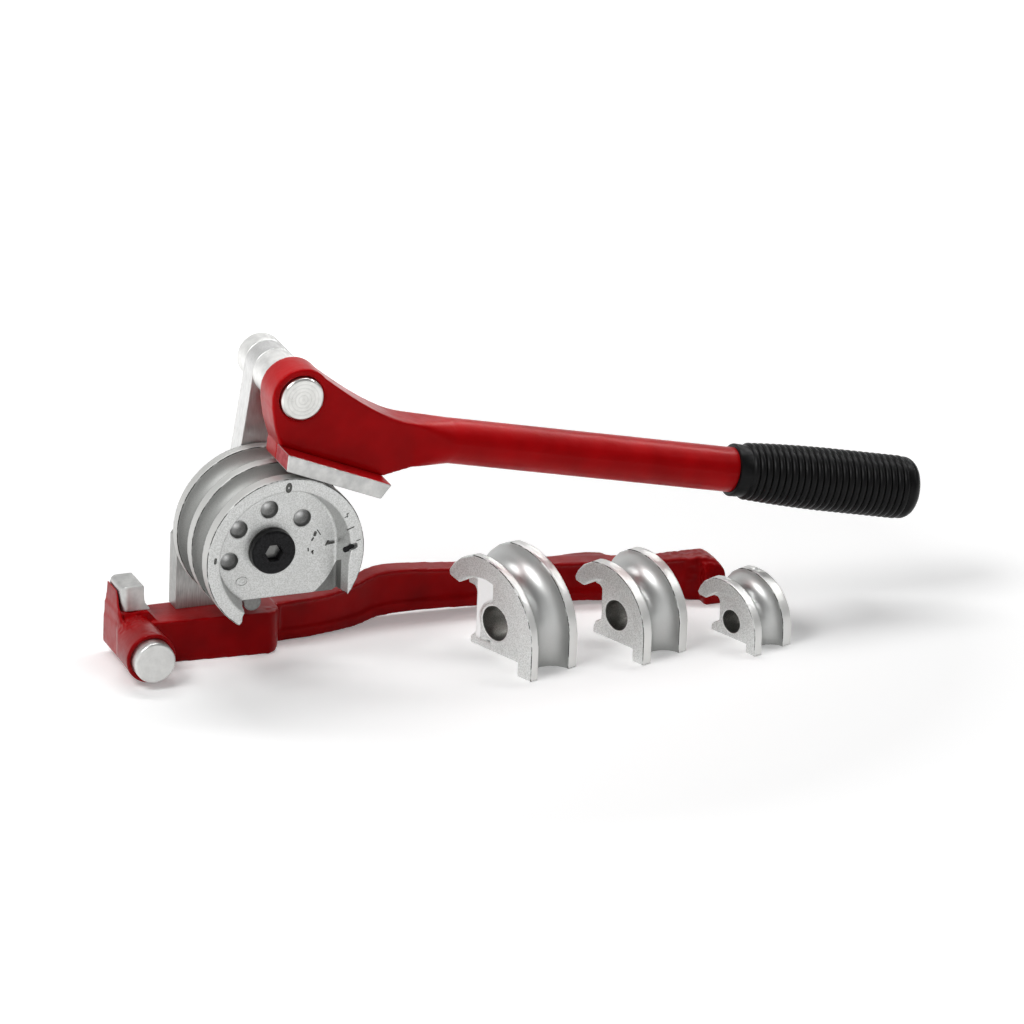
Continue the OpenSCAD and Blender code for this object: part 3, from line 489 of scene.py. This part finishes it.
# the loose set uses the same look painted paler, painted light, with fainter painted shade in its grooves
litLooseLook = dict(castLook, face="#eeefee", dark="#cfd0ce", rim="#dcdcda", groove="#c6c7c6",
                 grooveShade="#b0b1af", grooveRough=0.4)
loosePasses, looseTurn = 7, -68
looseShape = {
    "large": {"voxelMm": 0.58, "at": (130.3, 12.9), "rise": 18.9, "r": 47.2, "rim": 5.8, "tube": 25.4,
              "bore": 10.8, "pocket": {"depth": 14.15, "floor": 19.5, "bossR": 13.2, "right": -3}},
    "medium": {"voxelMm": 0.48, "at": (208.1, 7), "rise": 17.2, "r": 37.4, "rim": 7, "tube": 23.4,
               "bore": 9.4},
    "small": {"voxelMm": 0.4, "at": (281.1, -6.9), "rise": 10.6, "r": 30.2, "rim": 6, "tube": 18.2,
              "bore": 7.2}}
for size, own in looseShape.items():
    axis = place(*own["at"], own["rise"] - spindleRow.z)
    metal = tumbledMetal(size + "FormerMetal", litLooseLook, "former_" + size, axis, looseTurn, own["r"],
                         own["rim"], own["r"] - own["tube"] / 2, True, (), own.get("pocket"), own["bore"])
    mesh = castMesh("former_" + size, own["voxelMm"], loosePasses)
    newObject(size + "Former", mesh, metal, size + "_set", "tumbled_aluminium", "former_" + size)
    print(size, "former:", len(mesh.polygons), "faces")

mesh = castMesh("stop_block", 0.45, 3)
newObject("stopBlock", mesh, shoeSteel, "base", "bright_steel", "stop_block")

for name, node, width, material, body, slot in (
        ("supportPlate", "support_plate", 0.8, plateSteel, "base", "plate_steel"),
        ("stopPin", "stop_pin", 0.5, darkSteel, "base", "dark_steel"),
        ("lowerPin", "lower_pin", 0.5, lowerPinFace, "base", "bright_steel"),
        ("linkPlate", "link_plate", 0.8, linkSteel, "link", "plate_steel"),
        ("topPin", "top_pin", 0.5, pinFace, "link", "bright_steel"),
        ("spacerRing", "spacer_ring", 0.6, brightSteel, "link", "bright_steel"),
        ("hubNut", "hub_nut", 0.8, brightSteel, "link", "bright_steel"),
        ("formerBolt", "former_bolt", 0.5, blackOxide, "base", "black_oxide"),
        ("shoePlate", "shoe", 0.8, shoeSteel, "lever_arm", "plate_steel")):
    piece = bevelledPiece(name, node, width, 3, material, body, slot)

# enamel was sprayed over the shoe's top, and a thinner film over its left end; front and sole stay bare
piece.data.materials.append(redEnamel)
piece.data.materials.append(thinEnamel)
shoeTilt = math.radians(22.3)
shoeUp = Vector((math.sin(shoeTilt), 0, math.cos(shoeTilt)))
shoeLeft = Vector((-math.cos(shoeTilt), 0, math.sin(shoeTilt)))
sprayed = {"top": 0, "end": 0}
for face in piece.data.polygons:
    if face.normal.dot(shoeUp) > 0.95:
        face.material_index = 1
        sprayed["top"] += 1
    elif face.normal.dot(shoeLeft) > 0.93:
        face.material_index = 2
        sprayed["end"] += 1
print("shoe faces sprayed:", sprayed)
# a plain disc closes the hex socket's floor, and a ring is turned into the head round it
bolt = {"at": place(-3.8, 0, -0.8), "socketFloor": 13.42, "socketR": 4.9, "headFront": 9, "ringIn": 6.9,
        "ringOut": 7.6}
low, front = bolt["socketFloor"], bolt["headFront"]
floorMesh = turnedMesh("socketFloor", [(0, low - 0.5), (2.6, low - 0.2), (bolt["socketR"], low - 0.05),
                                       (bolt["socketR"], low + 0.3), (0, low + 0.3)], 6)
floorMesh.transform(Matrix.Translation(bolt["at"]))
newObject("socketFloor", floorMesh, darkSteel, "base", "dark_steel")
ringMesh = turnedMesh("headRing", [(bolt["ringIn"], front + 0.2), (bolt["ringIn"] + 0.15, front - 0.12),
                                   (bolt["ringOut"] - 0.15, front - 0.12), (bolt["ringOut"], front + 0.2)], 96)
ringMesh.transform(Matrix.Translation(bolt["at"]))
newObject("headRing", ringMesh, blackOxide, "base", "black_oxide")
print("pins and plates made")

grip = {"length": 124, "collar": 8.5, "collarR": 16.2, "neckR": 16.7, "bodyR": 19.5, "ribs": 25, "taper": 70,
        "ribDeep": 1.5, "ribsShort": 9, "wall": 13.85, "endR": 7, "start": 195, "slope": math.radians(12.46)}
profile = [(grip["wall"], grip["length"] - 6), (grip["wall"], 0), (grip["collarR"] - 1, 0),
           (grip["collarR"] - 0.3, 0.3), (grip["collarR"], 1)]
ribEnd = grip["length"] - grip["ribsShort"]
steps = grip["ribs"] * 10
for k in range(steps + 1):
    s = grip["collar"] + (ribEnd - grip["collar"]) * k / steps
    share = min(1, s / grip["taper"])
    r = grip["neckR"] + (grip["bodyR"] - grip["neckR"]) * (share * (2 - share))
    wave = abs(math.sin(math.pi * k / 10))
    profile.append((r - grip["ribDeep"] * (1 - wave ** 0.75), s))
for k in range(9):
    a = math.pi / 2 * k / 8
    profile.append((grip["bodyR"] - grip["endR"] - 0.4 + grip["endR"] * math.cos(a),
                    grip["length"] - grip["endR"] + grip["endR"] * math.sin(a)))
profile += [(0, grip["length"])]
mesh = turnedMesh("rubberGrip", profile, 96)
handleStart = place(107, 26, 52.775)
along = Vector((math.cos(grip["slope"]), 0, -math.sin(grip["slope"])))
mesh.transform(Matrix.Translation(handleStart + along * grip["start"] / 1000)
               @ Matrix.Rotation(grip["slope"], 4, "Y") @ Matrix.Rotation(-math.pi / 2, 4, "Z"))
newObject("rubberGrip", mesh, blackRubber, "lever_arm", "black_rubber", "grip")
print("grip made")

studio = {"floor": "#f6f6f6", "floorLift": 0.26, "clearR": (0.3, 0.8), "world": 0.12, "low": 1.0,
          "zenith": 0.27, "right": 0.25, "slope": (0.2, 0.75), "centre": (0.15, 0, 0)}
mesh = bpy.data.meshes.new("floor")
bm = bmesh.new()
bmesh.ops.create_grid(bm, x_segments=1, y_segments=1, size=9)
bm.to_mesh(mesh)
bm.free()
floorMaterial, tree, shader = newMaterial("paperSweep", Base_Color=linear(studio["floor"]), Roughness=0.9,
                                          Specular_IOR_Level=0.0)
path = addNode(tree, "LightPath").node
seen = addNode(tree, "Math", path.outputs["Is Camera Ray"], path.outputs["Is Glossy Ray"], operation="MAXIMUM")
seen = addNode(tree, "Math", seen, path.outputs["Is Transmission Ray"], operation="MAXIMUM")
# away from the tool the sweep is lit clean white
spot = addNode(tree, "TexCoord").node.outputs["Object"]
reach = addNode(tree, "VectorMath", spot, studio["centre"], operation="DISTANCE")
clear = addNode(tree, "MapRange", reach, *studio["clearR"], studio["floorLift"], 1.0)
lift = addNode(tree, "Math", seen, clear, operation="MULTIPLY")
glow = addNode(tree, "Emission", Color=white, Strength=lift)
added = addNode(tree, "AddShader", shader.outputs[0], glow)
tree.links.new(added, tree.nodes["Material Output"].inputs["Surface"])
floor = bpy.data.objects.new("floor", mesh)
bpy.context.scene.collection.objects.link(floor)
mesh.materials.append(floorMaterial)

# the room: white to the camera, bright to the metals, and plain soft light elsewhere
# it is dimmer overhead and to the right
world = bpy.data.worlds.new("studio")
bpy.context.scene.world = world
world.use_nodes = True
tree = world.node_tree
background = tree.nodes["Background"]
direction = addNode(tree, "TexCoord").node.outputs["Generated"]
heading = addNode(tree, "SeparateXYZ", direction).node.outputs
level = addNode(tree, "MapRange", heading["Z"], *studio["slope"], studio["low"], studio["zenith"])
side = addNode(tree, "MapRange", heading["X"], *studio["slope"], 1.0, studio["right"])
level = addNode(tree, "Math", level, side, operation="MULTIPLY")
path = addNode(tree, "LightPath").node
seen = addNode(tree, "Math", path.outputs["Is Glossy Ray"], path.outputs["Is Transmission Ray"],
               operation="MAXIMUM")
strength = addNode(tree, "MapRange", Value=seen, To_Min=studio["world"], To_Max=1.0)
room = addNode(tree, "Math", level, strength, operation="MULTIPLY")
level = addNode(tree, "Math", room, path.outputs["Is Camera Ray"], operation="MAXIMUM")
tree.links.new(level, background.inputs["Strength"])
background.inputs["Color"].default_value = white

lamps = {
    "keyPanel": {"at": (-1.0, -0.4, 1.5), "size": (0.9, 0.7), "power": 17},
    "topStrip": {"at": (0.3, 0.45, 1.5), "size": (1.6, 0.3), "power": 13},
    "sidePanel": {"at": (1.4, -0.6, 0.8), "size": (0.6, 0.9), "power": 1},
    # a narrow strip that only the gloss shows, along the handle
    "glossStrip": {"at": (1.5, 0.45, 1.4), "size": (2.8, 0.05), "power": 14},
}
for name, lamp in lamps.items():
    light = bpy.data.lights.new(name, "AREA")
    light.shape = "RECTANGLE"
    light.size, light.size_y = lamp["size"]
    light.energy = lamp["power"]
    panel = bpy.data.objects.new(name, light)
    panel.visible_diffuse = name != "glossStrip"
    bpy.context.scene.collection.objects.link(panel)
    where = Vector(lamp["at"])
    panel.location = where
    panel.rotation_euler = (Vector((0.1, 0, 0.07)) - where).to_track_quat("-Z", "Y").to_euler()

# the camera of the photo, in degrees, pixels of a picture 1024 wide, and metres
view = {"focal": 9000, "wide": 1024, "turn": -22.5, "tilt": 67.45, "roll": 2.2, "pixel": (285.8, 557.0),
        "depth": 5.3476}
turn = Matrix.Identity(3)
for name, axis in (("turn", "Z"), ("tilt", "X"), ("roll", "Z")):
    turn = turn @ Matrix.Rotation(math.radians(view[name]), 3, axis)
right, down = [(pixel - view["wide"] / 2) / view["focal"] for pixel in view["pixel"]]
ray = Vector((right, -down, -1))
cameraData = bpy.data.cameras.new("camera")
cameraData.sensor_width = 36
cameraData.lens = view["focal"] / view["wide"] * 36
cameraData.clip_end = 60
camera = bpy.data.objects.new("camera", cameraData)
bpy.context.scene.collection.objects.link(camera)
camera.matrix_world = Matrix.Translation(place(0, 0, 0) - turn @ ray * view["depth"]) @ turn.to_4x4()
bpy.context.scene.camera = camera
bpy.context.scene.view_settings.view_transform = "Standard"
print("studio made")
